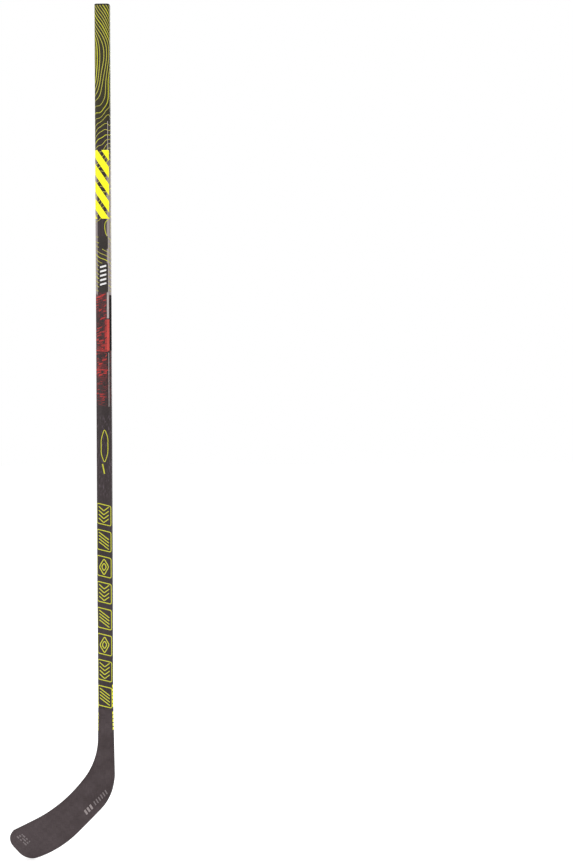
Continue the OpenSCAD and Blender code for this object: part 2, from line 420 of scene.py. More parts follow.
def blade_rim(material):
    """The solid edge wrap, round from the joint past the toe and back up the heel"""
    quarter = [math.radians(90 * k / 8) for k in range(9)]
    rings = []
    for k, outer in enumerate(edge):
        n = (inner[k] - outer) / RIM_W
        r = min(CORNER_R, half_t(outer) - EDGE_FLAT)
        depths = [r * (1 - math.cos(a)) for a in quarter] + [RIM_W]
        ring = []
        for side, order in ((-1, depths[::-1]), (1, depths)):
            for d in order:
                p = outer + d * n
                t = half_t(p)
                edge_r = min(CORNER_R, t - EDGE_FLAT)
                drop = edge_r - math.sqrt(max(0, edge_r ** 2 - max(0, edge_r - d) ** 2))
                ring.append(in_frame(p, side * (t - drop)))
        rings.append(ring)
    return lofted("blade_edge_wrap", rings, material)


# ---------------- inked graphics

# A bend's outer point is drawn out to at most this many half widths
MITRE_MAX = 1.8
# How far a print reaches in below the surface, and the longest step along an outline
PRINT_SINK = 0.03
LINE_STEP = 1.2


class Ink:
    """Flat patches laid out on a plane, made into one thin closed print that follows a surface"""

    def __init__(self):
        self.spots, self.faces = [], []

    def spot(self, p):
        self.spots.append((p[0], p[1]))
        return len(self.spots) - 1

    def polygon(self, corners, cuts):
        """A convex polygon, cut along lines so that it can bend. cuts is pairs of axis and places."""
        parts = [corners]
        for axis, places in cuts:
            for place in places:
                split = [clipped(part, axis, place, keep) for part in parts for keep in (1, -1)]
                parts = [part for part in split if part]
        known = {}
        for part in parts:
            keys = [(round(p[0], 4), round(p[1], 4)) for p in part]
            for key, p in zip(keys, part):
                if key not in known:
                    known[key] = self.spot(p)
            self.faces.append([known[key] for key in keys])

    def ribbon(self, line, width, closed=False):
        """A strip along a line. width is a number or a function of a place on the line."""
        size = len(line)
        pairs = []
        for i, p in enumerate(line):
            before = line[i - 1] if i or closed else p
            after = line[(i + 1) % size] if i < size - 1 or closed else p
            d1, d2 = Vector(p) - Vector(before), Vector(after) - Vector(p)
            d1 = d1.normalized() if d1.length > 1e-9 else d2.normalized()
            d2 = d2.normalized() if d2.length > 1e-9 else d1
            mean = (d1 + d2).normalized()
            reach = min(MITRE_MAX, 1 / max(0.3, mean.dot(d1)))
            half = (width(p) if callable(width) else width) / 2 * reach
            n = Vector((-mean.y, mean.x)) * half
            pairs.append((self.spot(Vector(p) + n), self.spot(Vector(p) - n)))
        for i in range(size if closed else size - 1):
            (a, b), (c, d) = pairs[i], pairs[(i + 1) % size]
            self.faces.append([a, b, d, c])

    def print_on(self, name, place, lift, material):
        """The closed print, from just inside the surface up to lift above it"""
        count = len(self.spots)
        points = [place(s, z, height) for height in (lift, -PRINT_SINK) for s, z in self.spots]
        directed = {(f[i], f[(i + 1) % len(f)]) for f in self.faces for i in range(len(f))}
        faces = [tuple(f) for f in self.faces]
        faces += [tuple(i + count for i in reversed(f)) for f in self.faces]
        faces += [(b, a, a + count, b + count) for a, b in sorted(directed) if (b, a) not in directed]
        piece(name, points, faces, material, sharp=50)


def clipped(corners, axis, place, keep):
    """The part of a convex polygon on one side of a line across the plane, or nothing"""
    made = []
    for i, p in enumerate(corners):
        q = corners[(i + 1) % len(corners)]
        a, b = (p[axis] - place) * keep, (q[axis] - place) * keep
        if a >= 0:
            made.append(p)
        if a * b < 0:
            share = a / (a - b)
            made.append((p[0] + (q[0] - p[0]) * share, p[1] + (q[1] - p[1]) * share))
    has_area = any(abs(p[axis] - place) > 1e-6 for p in made)
    return made if len(made) > 2 and has_area else None


def wound(points):
    """Corners in the order that faces out of the shaft"""
    area = sum(a[0] * b[1] - b[0] * a[1] for a, b in zip(points, points[1:] + points[:1]))
    return points if area > 0 else points[::-1]


def corner_cuts():
    """Lines along the shaft's four corners, where a print has to bend"""
    places = set()
    for middle in (-3 * QUARTER, -QUARTER, QUARTER, 3 * QUARTER):
        for side in (-1, 1):
            start = middle + side * SIDE
            places |= {round(start + side * ARC * k / CORNER_STEPS, 5) for k in range(CORNER_STEPS + 1)}
    return [(0, sorted(places))]


SHAFT_CUTS = corner_cuts()


def block(s0, s1, z0, z1, lean=0.0):
    """A four-sided patch from s0 to s1 and from z0 down to z1. lean drops its right side."""
    return wound([(s0, z0), (s1, z0 - lean), (s1, z1 - lean), (s0, z1)])


def stepped(line, closed=False):
    """A line of straight runs with points added along them"""
    made = []
    ends = line[1:] + (line[:1] if closed else [])
    for p, q in zip(line, ends):
        count = max(1, math.ceil((Vector(q) - Vector(p)).length / LINE_STEP))
        made += [tuple(Vector(p).lerp(Vector(q), k / count)) for k in range(count)]
    return made if closed else made + [line[-1]]


def softened(line, r, closed=True):
    """A line with its corners rounded"""
    made = []
    for i, p in enumerate(line):
        if not closed and i in (0, len(line) - 1):
            made.append(p)
            continue
        a, c = Vector(line[i - 1]), Vector(line[(i + 1) % len(line)])
        b = Vector(p)
        reach = min(r, (a - b).length / 2.2, (c - b).length / 2.2)
        start, end = b + (a - b).normalized() * reach, b + (c - b).normalized() * reach
        for k in range(5):
            u = k / 4
            made.append(tuple(start * (1 - u) ** 2 + b * 2 * u * (1 - u) + end * u ** 2))
    return made


# Heights where one band of graphics gives way to the next, from the butt end down
LINES_TOP = -2.3
WIDE_LINES_END = -185
BARS_TOP = -282
BARS_END = -414
PANEL_TOP = -448
RED_TOP = -556
RED_END = -776
LOOP_TOP = -818
LOOP_END = -885
BLOCKS_TOP = -961
BLOCK_PITCH = 50.1
BLOCK_COUNT = 8

# Widths of the level lines above and below WIDE_LINES_END, and what every fifth line has more
WIDE_LINE = 1.25
FINE_LINE = 0.95
INDEX_EVERY = 5
INDEX_EXTRA = 0.3

# Shards of the red band, for each print: its ink, lift, seed, first and last place round the shaft,
# the height of a row, the slope, and how many are kept at a share of the way down
RED_SHARDS = {
    "print_deep_red": ("deep_red", 0.05, 11, -20, 7.2, 3.6, -0.22, lambda share: 0.95 - 0.2 * share),
    "print_bright_red": ("bright_red", 0.09, 31, -17, 7.0, 5.4, 0.34, lambda share: 0.6 - 0.6 * share),
    "print_fine_red": ("bright_red", 0.07, 51, -12, 7.0, 2.6, 0.1, lambda share: 0.26 * (share > 0.4)),
}
# Steps of a row's height that a shard's corners lie on
SHARD_STEPS = 25

# How much of the red band its shards cover, at depths below its top
RED_COVER = [(0, 0.9), (32, 1.0), (44, 0.35), (55, 0.4), (66, 1.0), (106, 1.05), (113, 0.3), (122, 0.35),
             (132, 1.1), (146, 1.0), (153, 0.35), (162, 0.95), (220, 0.9)]

# Heights between which the shaft is tinted olive at the top, and further down has grey painted highlight on
# its corners
OLIVE = (-200, -290)
CORNER_HIGHLIGHT = (-260, -568)
# Where a wide face's painted corner highlight starts, to the left and right of its middle
HIGHLIGHT_EDGES = (-7.8, 10)

# Slope of the level field along the shaft, as heights and levels per millimetre
FIELD_SLOPES = [(0, 0.112), (-58, 0.112), (-86, 0.02), (-120, -0.03), (-170, -0.035), (-196, -0.05),
                (-222, -0.098), (-400, -0.092), (-420, -0.05), (-440, 0.03), (-462, 0.115), (-556, 0.115)]
# How strongly the field swings round the shaft, and how rough it is, at heights along it
FIELD_SWINGS = [(0, 3.0), (-60, 3.4), (-150, 3.2), (-180, 2.0), (-200, 1.3), (-225, 0.9), (-300, 1.0),
                (-430, 0.8), (-468, 1.2), (-556, 1.2)]
FIELD_ROUGHNESS = [(0, 0.35), (-150, 0.5), (-215, 1.0), (-425, 1.0), (-468, 0.35)]


def level_field():
    """The field whose level lines are drawn, on a grid round and along the shaft"""
    s_count = 96
    s = np.arange(s_count) * GIRTH / s_count - GIRTH / 2
    z = np.arange(RED_TOP, 1.0, 0.95)
    slopes, swing, rough = (np.interp(-z, [-h for h, _ in table], [v for _, v in table])
                            for table in (FIELD_SLOPES, FIELD_SWINGS, FIELD_ROUGHNESS))
    rise = np.concatenate([[0], np.cumsum((slopes[1:] + slopes[:-1]) / 2 * np.diff(z))])
    a = 2 * math.pi * s[:, None] / GIRTH
    round_it = np.sin(a) - np.sin(3 * a) / 9
    waves = (0.30 * np.sin(2 * a + z / 21 + 0.6) + 0.16 * np.sin(3 * a - z / 13 + 2.0)
             + 0.12 * np.sin(5 * a + z / 34))
    dome = np.exp(-((s[:, None] - 11) / 7.5) ** 2 - ((z + 213) / 17) ** 2)
    return s, z, rise + swing * round_it + rough * waves + 0.9 * dome


def linked_crossings(above):
    """The cell sides that a level crosses, each with those that the line runs on to"""
    right = np.roll(above, -1, axis=0)
    mixed = above[:, :-1] != right[:, :-1]
    for other in (above[:, 1:], right[:, 1:]):
        mixed = mixed | (above[:, :-1] != other)
    links = {}
    for i, j in zip(*np.nonzero(mixed)):
        i, j, k = int(i), int(j), int(i + 1) % len(above)
        corners = [above[i, j], above[k, j], above[k, j + 1], above[i, j + 1]]
        sides = [("s", i, j), ("z", k, j), ("s", i, j + 1), ("z", i, j)]
        cut = [sides[n] for n in range(4) if corners[n] != corners[(n + 1) % 4]]
        for a, b in [cut] if len(cut) == 2 else [cut[:2], cut[2:]]:
            links.setdefault(a, []).append(b)
            links.setdefault(b, []).append(a)
    return links


def chained(links):
    """Linked keys joined up into chains, each with whether it closes on itself"""
    left, chains = set(links), []
    for start in sorted(links, key=lambda key: (len(links[key]), key)):
        if start not in left:
            continue
        chain, here = [start], start
        left.discard(start)
        while True:
            nearby = [n for n in links[here] if n in left]
            if not nearby:
                break
            here = nearby[0]
            left.discard(here)
            chain.append(here)
        chains.append((chain, start in links[here] and len(chain) > 2))
    return chains


def unwound(line, is_loop):
    """A line that runs on round the shaft where it had jumped back by a whole turn"""
    shift, made = 0.0, [line[0]]
    for p, q in zip(line, line[1:]):
        shift -= GIRTH * round((q[0] - p[0]) / GIRTH)
        made.append((q[0] + shift, q[1]))
    if is_loop:
        turns = round((made[-1][0] - line[0][0]) / GIRTH)
        made.append((line[0][0] + GIRTH * turns, line[0][1]))
    return made


def level_lines():
    """Level lines of the field, as the level's number and (s, z) places that run on round the shaft"""
    s, z, f = level_field()

    def spot(key, level):
        side, i, j = key
        if side == "s":
            share = (level - f[i, j]) / (f[(i + 1) % len(s), j] - f[i, j])
            return s[i] + share * GIRTH / len(s), z[j]
        share = (level - f[i, j]) / (f[i, j + 1] - f[i, j])
        return s[i], z[j] + share * (z[1] - z[0])

    lines = []
    for number, level in enumerate(np.arange(math.floor(f.min()) + 0.5, f.max(), 1.0)):
        for chain, is_loop in chained(linked_crossings(f > level)):
            line = unwound([spot(key, level) for key in chain], is_loop)
            if len(line) > 6:
                lines.append((number, line))
    return lines


def smoothed(line):
    """A line with the grid's small steps taken out of it"""
    for _ in range(3):
        inner_spots = [tuple((Vector(a) + 2 * Vector(b) + Vector(c)) / 4)
                       for a, b, c in zip(line, line[1:], line[2:])]
        line = [line[0]] + inner_spots + [line[-1]]
    return line


def within(p, shapes):
    """Whether a place on the shaft lies in one of several convex shapes, wherever it has wound to"""
    for shape in shapes:
        for turn in (-1, 0, 1):
            x, y = p[0] + turn * GIRTH, p[1]
            if all((b[0] - a[0]) * (y - a[1]) - (b[1] - a[1]) * (x - a[0]) > 0
                   for a, b in zip(shape, shape[1:] + shape[:1])):
                return True
    return False


def on_both_faces(front, back):
    """Shapes for the front face, and shapes for the back face moved round to it"""
    return front + [[(s + 2 * QUARTER, z) for s, z in shape] for shape in back]


def bar_shapes():
    """Wide slanted bars, cut off level at the top and bottom of their band"""
    left, right, tall, gap, drop = -17.5, 12.5, 21, 12, 44
    bars = []
    z = BARS_TOP + drop
    while z - tall > BARS_END - tall - drop:
        shape = block(left, right, z, z - tall, drop)
        shape = clipped(shape, 1, BARS_TOP, -1)
        shape = clipped(shape, 1, BARS_END, 1) if shape else None
        if shape:
            bars.append(shape)
        z -= tall + gap
    return bars


def panel_shapes():
    """A short dark panel and a long one below it"""
    left, right, short, next_top = -7.4, 9.9, 24.5, PANEL_TOP - 52
    return [block(left, right, PANEL_TOP, PANEL_TOP - short), block(left, right, next_top, RED_TOP + 1)]


def tick_shapes():
    """A short row of slanted ticks"""
    top, pitch, tall, lean = PANEL_TOP - 58, 8.4, 3.4, -3.2
    return [block(-5.4, 6.4, top - k * pitch, top - k * pitch - tall, lean) for k in range(5)]


def shards(seed, low, high, row_h, slope, keep):
    """Slanted shards between two places round the shaft, in rows down the red band"""
    rng = random.Random(seed)
    made = []
    rows = int((RED_TOP - RED_END) / row_h) - 1
    for row in range(rows):
        depth = 3 + row * row_h
        top = RED_TOP - depth
        share = keep(row / rows) * np.interp(depth, [d for d, _ in RED_COVER], [c for _, c in RED_COVER])
        s = low
        while s < high - 3:
            end = min(high, s + rng.uniform(3.5, 11))
            left, right = (sorted(rng.sample(range(1, SHARD_STEPS - 1), 2)) for _ in range(2))
            if rng.random() < share:
                ends = (s + 0.2, end - 0.2)
                shape = [(ends[0], left[0]), (ends[1], right[0]), (ends[1], right[1]), (ends[0], left[1])]
                made.append(wound([(x, top + slope * x - drop / SHARD_STEPS * row_h) for x, drop in shape]))
            s = end
    return made


def block_lines():
    """Slanted frames down the lower shaft with a plain pattern in each, as (line, corner radius, closed)"""
    left, right, tall, lean = -14.6, 13.2, 45, 7
    middle, margin = (left + right) / 2, 4.4
    near, far = left + margin, right - margin
    lines = []
    for k in range(BLOCK_COUNT):
        z = BLOCKS_TOP - k * BLOCK_PITCH
        frame_line = [(left, z), (right, z - lean), (right, z - tall), (left, z - tall + lean)]
        lines.append((frame_line, 4, True))
        if k % 3 == 0:
            lines += [([(near, z - d), (middle, z - d - 9), (far, z - d - 2)], 1.5, False)
                      for d in (6.5, 14, 21.5, 29)]
        elif k % 3 == 1:
            lines += [([(near, z - d), (far, z - d - 15)], 1, False) for d in (6, 12.2, 18.4, 24.6)]
        else:
            lines += [([(middle, z - 23 + d), (middle + w, z - 23), (middle, z - 23 - d),
                        (middle - w, z - 23)], 3.6, True) for d, w in ((16, 9.2), (8, 4.8))]
    return lines


def print_shapes(name, shapes, lift, material, back=None):
    """One print of the same shapes on the front and the back face, or of others on the back"""
    ink = Ink()
    for shape in on_both_faces(shapes, back or shapes):
        ink.polygon(shape, SHAFT_CUTS)
    ink.print_on(name, on_shaft, lift, material)


def print_lines(covered, inks):
    """Level lines, broken where bars and panels cover them. Every fifth is wider and brighter."""
    contours, index_lines = Ink(), Ink()
    for number, line in level_lines():
        ink, extra = (index_lines, INDEX_EXTRA) if number % INDEX_EVERY == 2 else (contours, 0)
        run = []
        for p in smoothed(line) + [None]:
            if p and LINES_TOP > p[1] > RED_TOP + 2 and not within(p, covered):
                run.append(p)
                continue
            if len(run) > 4:
                ink.ribbon(run, lambda q: extra + (WIDE_LINE if q[1] > WIDE_LINES_END else FINE_LINE))
            run = []
    contours.print_on("print_contour_lines", on_shaft, 0.05, inks["line_yellow"])
    index_lines.print_on("print_index_lines", on_shaft, 0.06, inks["outline_yellow"])


def print_red_band(inks):
    """Shards of two reds, a stepped red edge beside a strip of red print lightened as painted highlight, two
    cross lines and a dark side
    """
    for name, (ink_name, lift, seed, *how) in RED_SHARDS.items():
        front, back = shards(seed, *how), shards(seed + 1, *how)
        print_shapes(name, front, lift, inks[ink_name], back)
    strip_end = RED_TOP - 112
    steps = [block(3.2, 6.4, z, z - 9.5, -2.2) for z in range(RED_TOP - 54, strip_end, -12)]
    # Painted highlight: a strip of the red print made lighter along the right corner, standing in for a
    # reflection there
    light = [block(6.7, 11.8, RED_TOP - 52, strip_end)]
    crossing = [block(-20, 9.5, z, z - 1.6, 2.0) for z in (strip_end + 1.5, RED_TOP - 147)]
    dark = [block(12.4, 23, RED_TOP - 5, strip_end)]
    print_shapes("print_red_steps", steps, 0.1, inks["bright_red"])
    print_shapes("print_light_red", light, 0.1, inks["light_red"])
    print_shapes("print_cross_lines", crossing, 0.11, inks["bright_red"])
    print_shapes("print_side_panels", dark, 0.06, inks["black"])


def print_outlines(material):
    """A loop and its tail, and below them the row of frames and their patterns"""
    loop = [(1.5, LOOP_TOP), (8.0, LOOP_TOP - 17), (8.0, LOOP_TOP - 47), (1.5, LOOP_END),
            (-5.0, LOOP_TOP - 50), (-5.0, LOOP_TOP - 20)]
    tail = [(-2.6, LOOP_END - 1), (1.2, LOOP_END - 20)]
    drawn = [(stepped(softened(loop, 6.5), True), 1.35, True), (stepped(tail), 2.3, False)]
    for line, radius, closed in block_lines():
        drawn.append((stepped(softened(line, radius, closed), closed), 1.75, closed))
    ink = Ink()
    for face in (0, 2 * QUARTER):
        for line, width, closed in drawn:
            ink.ribbon([(s + face, z) for s, z in line], width, closed)
    ink.print_on("print_outlines", on_shaft, 0.11, material)


def print_side_dashes(material):
    """Dashes down both narrow faces, above and below the joint"""
    tall, pitch, half_w = 5.4, 7.4, 8
    ink = Ink()
    for middle in (QUARTER, 3 * QUARTER):
        z = JOINT_Z + 46
        while z > JOINT_Z - 38:
            if abs(z - 2 - JOINT_Z) > 3:
                ink.polygon(block(middle - half_w, middle + half_w, z, z - tall, 1.5), SHAFT_CUTS)
            z -= pitch
    ink.print_on("print_side_dashes", on_shaft, 0.08, material)


def print_shaft(inks):
    """All of the shaft's prints, and its painted highlight along a corner. Those that cross each other stand
    at different heights.
    """
    bars, panels = bar_shapes(), panel_shapes()
    covered = bars + panels
    print_lines(on_both_faces(covered, covered), inks)
    print_shapes("print_bars", bars, 0.07, inks["yellow"])
    print_shapes("print_dark_panels", panels, 0.04, inks["dark"])
    print_shapes("print_ticks", tick_shapes(), 0.08, inks["white"])
    print_red_band(inks)
    print_outlines(inks["outline_yellow"])
    print_side_dashes(inks["yellow"])
    # Painted highlight: thin pale lines along the right corner, and a wider one at the top of the red band,
    # stand in for a reflection along the corner
    runs = ((-226, BARS_TOP - 1), (BARS_END - 1, RED_TOP), (-672, RED_END))
    highlight_lines = [block(10, 11, top, bottom) for top, bottom in runs]
    highlight_lines.append(block(7.4, 11.2, RED_TOP - 1, RED_TOP - 50))
    print_shapes("print_pinstripes", highlight_lines, 0.1, inks["pale"])


# ---------------- materials

def srgb(r, g, b):
    """A colour as seen, from 0 to 255, as the light it stands for"""
    def light(c):
        c /= 255
        return c / 12.92 if c <= 0.04045 else ((c + 0.055) / 1.055) ** 2.4
    return light(r), light(g), light(b), 1.0


class Shader:
    """A material with one Principled shader, and short calls to add nodes to it"""

    def __init__(self, name, roughness, **sockets):
        self.material = bpy.data.materials.new(name)
        self.material.use_nodes = True
        self.tree = self.material.node_tree
        self.main = self.tree.nodes["Principled BSDF"]
        self.feed(self.main, Roughness=roughness, **sockets)
        self.place = self.node("ShaderNodeTexCoord").outputs["Object"]

    def node(self, kind, **values):
        made = self.tree.nodes.new(kind)
        for key, value in values.items():
            setattr(made, key, value)
        return made

    def put(self, socket, value):
        """Sets an input to a number or a colour, or joins another node's output to it"""
        if isinstance(value, (int, float, tuple)):
            socket.default_value = value
        else:
            self.tree.links.new(value, socket)

    def feed(self, node, **values):
        """Puts values into a node's inputs by name, with _ for a space"""
        for key, value in values.items():
            self.put(node.inputs[key.replace("_", " ")], value)

    def math(self, operation, a, b=0.0):
        made = self.node("ShaderNodeMath", operation=operation)
        self.put(made.inputs[0], a)
        self.put(made.inputs[1], b)
        return made.outputs[0]

    def product(self, *values):
        made = values[0]
        for value in values[1:]:
            made = self.math("MULTIPLY", made, value)
        return made

    def rest(self, value):
        """One minus a value"""
        return self.math("SUBTRACT", 1.0, value)

    def noise(self, scale, detail, stretch=(1, 1, 1)):
        mapping = self.node("ShaderNodeMapping")
        self.feed(mapping, Vector=self.place, Scale=stretch)
        made = self.node("ShaderNodeTexNoise")
        self.feed(made, Vector=mapping.outputs[0], Scale=scale, Detail=detail, Roughness=0.55)
        return made.outputs["Fac"]

    def ramp(self, value, low, high, to_low=0.0, to_high=1.0):
        made = self.node("ShaderNodeMapRange", interpolation_type="SMOOTHSTEP")
        self.feed(made, Value=value, From_Min=low, From_Max=high, To_Min=to_low, To_Max=to_high)
        return made.outputs["Result"]

    def mix(self, share, a, b):
        made = self.node("ShaderNodeMix", data_type="RGBA")
        for name, kind, value in (("Factor", "VALUE", share), ("A", "RGBA", a), ("B", "RGBA", b)):
            self.put([x for x in made.inputs if x.name == name and x.type == kind][0], value)
        return [x for x in made.outputs if x.type == "RGBA"][0]

    def made(self, colour, roughness=None, bump=None):
        """The material with its inputs joined on. bump is a height, a strength and a distance."""
        self.feed(self.main, Base_Color=colour)
        if roughness:
            self.feed(self.main, Roughness=roughness)
        if bump:
            height, strength, distance = bump
            relief = self.node("ShaderNodeBump")
            self.feed(relief, Height=height, Strength=strength, Distance=distance)
            self.feed(self.main, Normal=relief.outputs["Normal"])
        return self.material

    def axes(self, source):
        made = self.node("ShaderNodeSeparateXYZ")
        self.put(made.inputs[0], source)
        return made.outputs[0], made.outputs[1], made.outputs[2]


def twill(shader, u, v, tow):
    """Height of a two by two twill of flat tows, from 0 to 1, and which way the top tow runs"""
    a, b = shader.math("DIVIDE", u, tow), shader.math("DIVIDE", v, tow)
    step = shader.math("ADD", shader.math("FLOOR", a), shader.math("FLOOR", b))
    over = shader.math("LESS_THAN", shader.math("FLOORED_MODULO", step, 4.0), 1.5)
    crown = []
    for c in (a, b):
        part = shader.math("SUBTRACT", shader.math("FRACT", c), 0.5)
        crown.append(shader.rest(shader.product(part, part, 4.0)))
    height = shader.math("ADD", shader.product(over, crown[0]), shader.product(shader.rest(over), crown[1]))
    return height, over


def in_bands(shader, base):
    """The ply's colour with what changes down the shaft: olive, red haze, scuffs and grey painted highlight
    on the corners
    """
    x, y, z = shader.axes(shader.place)

    def fade(start, end, value=z):
        return shader.ramp(value, start * MM, end * MM)

    base = shader.mix(shader.product(fade(OLIVE[1], OLIVE[0]), 0.85), base, srgb(44, 41, 14))

    in_red = shader.product(fade(RED_END - 6, RED_END + 30), fade(RED_TOP + 3, RED_TOP - 2))
    haze = shader.ramp(shader.noise(330, 4, (1, 1, 0.45)), 0.45, 0.66)
    base = shader.mix(shader.product(in_red, haze, 0.5), base, srgb(112, 34, 36))

    in_scuff = shader.product(fade(BLOCKS_TOP, BLOCKS_TOP + 30), fade(RED_END, RED_END - 30))
    scuff = shader.ramp(shader.noise(420, 3, (1, 1, 0.22)), 0.52, 0.68)
    base = shader.mix(shader.product(in_scuff, scuff, 0.45), base, srgb(104, 90, 100))

    # Painted highlight: the corners lightened to grey over this band, standing in for a reflection along
    # them
    in_highlight = shader.product(fade(CORNER_HIGHLIGHT[1], CORNER_HIGHLIGHT[1] + 12), fade(CORNER_HIGHLIGHT[0], CORNER_HIGHLIGHT[0] - 80))
    turned = shader.product(shader.math("SIGN", y), x)
    left, right = HIGHLIGHT_EDGES
    edges = shader.math("MAXIMUM", fade(left + 0.4, left - 0.4, turned),
                        fade(right - 0.4, right + 0.4, turned))
    return shader.mix(shader.product(in_highlight, edges, 0.9), base, srgb(146, 136, 134))


def shaft_material():
    """Clear-coated woven ply of the shaft, a warm near-black"""
    shader = Shader("printed_carbon", 0.46, Coat_Weight=0.12, Coat_Roughness=0.35, Specular_IOR_Level=0.25)
    u, v, _ = shader.axes(shader.node("ShaderNodeUVMap", uv_map="wrap").outputs[0])
    height, over = twill(shader, u, v, 0.0019)
    streaks = shader.noise(260, 3, (1, 1, 0.035))
    cloud = shader.noise(9, 3, (1, 1, 0.4))
    base = shader.mix(shader.ramp(cloud, 0.3, 0.7), srgb(38, 28, 29), srgb(49, 39, 40))
    base = shader.mix(shader.ramp(streaks, 0.4, 0.75, 0, 0.35), base, srgb(70, 61, 62))
    base = shader.mix(shader.product(over, 0.14), base, srgb(26, 21, 20))
    rough = shader.ramp(streaks, 0.2, 0.8, 0.4, 0.54)
    return shader.made(in_bands(shader, base), rough, (height, 0.1, 0.0001))


# Printed inks, and two that paint highlight along a corner: each one's colour, its speckle's colour and how
# much shows, and where they aren't the usual ones its roughness and shine
INKS = {
    "yellow": ((244, 240, 8), (226, 216, 8), 0.2),
    "line_yellow": ((182, 178, 62), (142, 136, 52), 0.5),
    "outline_yellow": ((190, 190, 40), (156, 154, 36), 0.3),
    "dark": ((34, 28, 24), (46, 40, 34), 0.4),
    "black": ((22, 19, 19), (34, 30, 30), 0.4, 0.8, 0.06),
    "white": ((222, 221, 220), (196, 194, 192), 0.3),
    # painted highlight, not print: the pale lines along a corner
    "pale": ((168, 158, 156), (142, 132, 130), 0.5),
    "deep_red": ((100, 29, 31), (62, 23, 24), 0.7),
    # red print lightened as painted highlight along a corner
    "light_red": ((184, 62, 54), (150, 52, 46), 0.6),
    "bright_red": ((168, 37, 34), (112, 28, 28), 0.7),
    "mark_grey": ((136, 126, 126), (112, 103, 103), 0.4),
    "mark_faint": ((104, 95, 96), (92, 83, 84), 0.4),
}


def ink_material(name, colour, darker, wear, roughness=0.38, shine=0.35):
    """Printed ink, also used for painted highlight: a flat colour with fine speckle and slight wear"""
    shader = Shader(name, roughness, Coat_Weight=shine / 2, Coat_Roughness=0.3, Specular_IOR_Level=shine)
    speckle = shader.noise(900, 2)
    cloud = shader.noise(40, 3)
    base = shader.mix(shader.ramp(cloud, 0.35, 0.75, 0, wear), srgb(*colour), srgb(*darker))
    base = shader.mix(shader.ramp(speckle, 0.58, 0.75, 0, wear), base, srgb(*darker))
    rough = shader.ramp(speckle, 0.3, 0.7, roughness - 0.05, roughness + 0.08)
    return shader.made(base, rough, (speckle, 0.1, 0.00003))


def blade_material(name, colour, lighter):
    """Matte blade laminate: wide flat tows, barely told apart, with fine fibres along each"""
    shader = Shader(name, 0.62, Specular_IOR_Level=0.22)
    x, _, z = shader.axes(shader.place)
    tow = 0.009
    steps = [shader.math("FLOOR", shader.math("DIVIDE", c, tow)) for c in (x, z)]
    odd = shader.math("FLOORED_MODULO", shader.math("ADD", *steps), 2.0)
    over = shader.math("LESS_THAN", odd, 0.5)
    fibres = [shader.noise(900, 2, stretch) for stretch in ((0.05, 1, 1), (1, 1, 0.05))]
    fibre = shader.math("ADD", shader.product(over, fibres[0]), shader.product(shader.rest(over), fibres[1]))
    cloud = shader.noise(24, 4)
    base = shader.mix(shader.ramp(cloud, 0.3, 0.75), srgb(*colour), srgb(*lighter))
    # Painted light: the blade made lighter towards the toe, standing in for how the light falls along its
    # bow
    base = shader.mix(shader.ramp(x, -0.02, -0.2, 0, 0.8), base, srgb(*lighter))
    base = shader.mix(shader.product(over, 0.1), base, srgb(30, 24, 25))
    base = shader.mix(shader.ramp(fibre, 0.4, 0.75, 0, 0.3), base, srgb(30, 24, 25))
    rough = shader.ramp(fibre, 0.3, 0.7, 0.56, 0.7)
    return shader.made(base, rough, (fibre, 0.12, 0.00006))


def plug_material():
    """Moulded plastic with a fine grain"""
    shader = Shader("moulded_plug", 0.6, Specular_IOR_Level=0.4)
    grain = shader.noise(2200, 3)
    cloud = shader.noise(60, 3)
    base = shader.mix(shader.ramp(cloud, 0.3, 0.7), srgb(20, 18, 18), srgb(30, 27, 27))
    return shader.made(base, shader.ramp(grain, 0.3, 0.7, 0.52, 0.68), (grain, 0.25, 0.00008))


def laminate_material(name, colour):
    """Bare carbon laminate, as inside the tube and on the tenon"""
    shader = Shader(name, 0.4, Specular_IOR_Level=0.5)
    x, y, z = shader.axes(shader.place)
    height, over = twill(shader, shader.math("ADD", x, y), z, 0.003)
    fibre = shader.noise(1500, 2, (1, 1, 0.05))
    base = shader.mix(shader.product(over, 0.6), srgb(*colour), srgb(24, 24, 26))
    base = shader.mix(shader.ramp(fibre, 0.45, 0.8, 0, 0.4), base, srgb(92, 92, 96))
    return shader.made(base, shader.ramp(fibre, 0.3, 0.7, 0.32, 0.5), (height, 0.3, 0.0002))


def foam_material():
    """Closed-cell foam"""
    shader = Shader("core_foam", 0.9, Specular_IOR_Level=0.2)
    cells = shader.node("ShaderNodeTexVoronoi")
    shader.feed(cells, Vector=shader.place, Scale=1400)
    shade = shader.ramp(cells.outputs["Distance"], 0.0, 0.6)
    base = shader.mix(shade, srgb(206, 200, 184), srgb(232, 228, 214))
    return shader.made(base, bump=(shade, 0.4, 0.0003))


def adhesive_material():
    """Cured resin, slightly cloudy"""
    shader = Shader("cured_resin", 0.25, Specular_IOR_Level=0.5)
    cloud = shader.noise(120, 4)
    base = shader.mix(shader.ramp(cloud, 0.3, 0.7), srgb(196, 172, 104), srgb(222, 204, 150))
    return shader.made(base, bump=(cloud, 0.15, 0.0002))


def floor_material():
    """Plain white studio floor, bright enough to run into the white round it"""
    shader = Shader("studio_floor", 0.9, Specular_IOR_Level=0.1, Emission_Color=(1, 1, 1, 1),
                    Emission_Strength=0.5)
    cloud = shader.noise(0.7, 2)
    return shader.made(shader.mix(cloud, (0.93, 0.93, 0.93, 1), (0.95, 0.95, 0.95, 1)))


# ---------------- assembly

def add(obj, body, slot, *nodes):
    """Has a piece ride on a body and stand for CAD nodes, if any, which are hidden. slot is not used."""
    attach(obj, body)
    if nodes:
        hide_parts(*nodes)


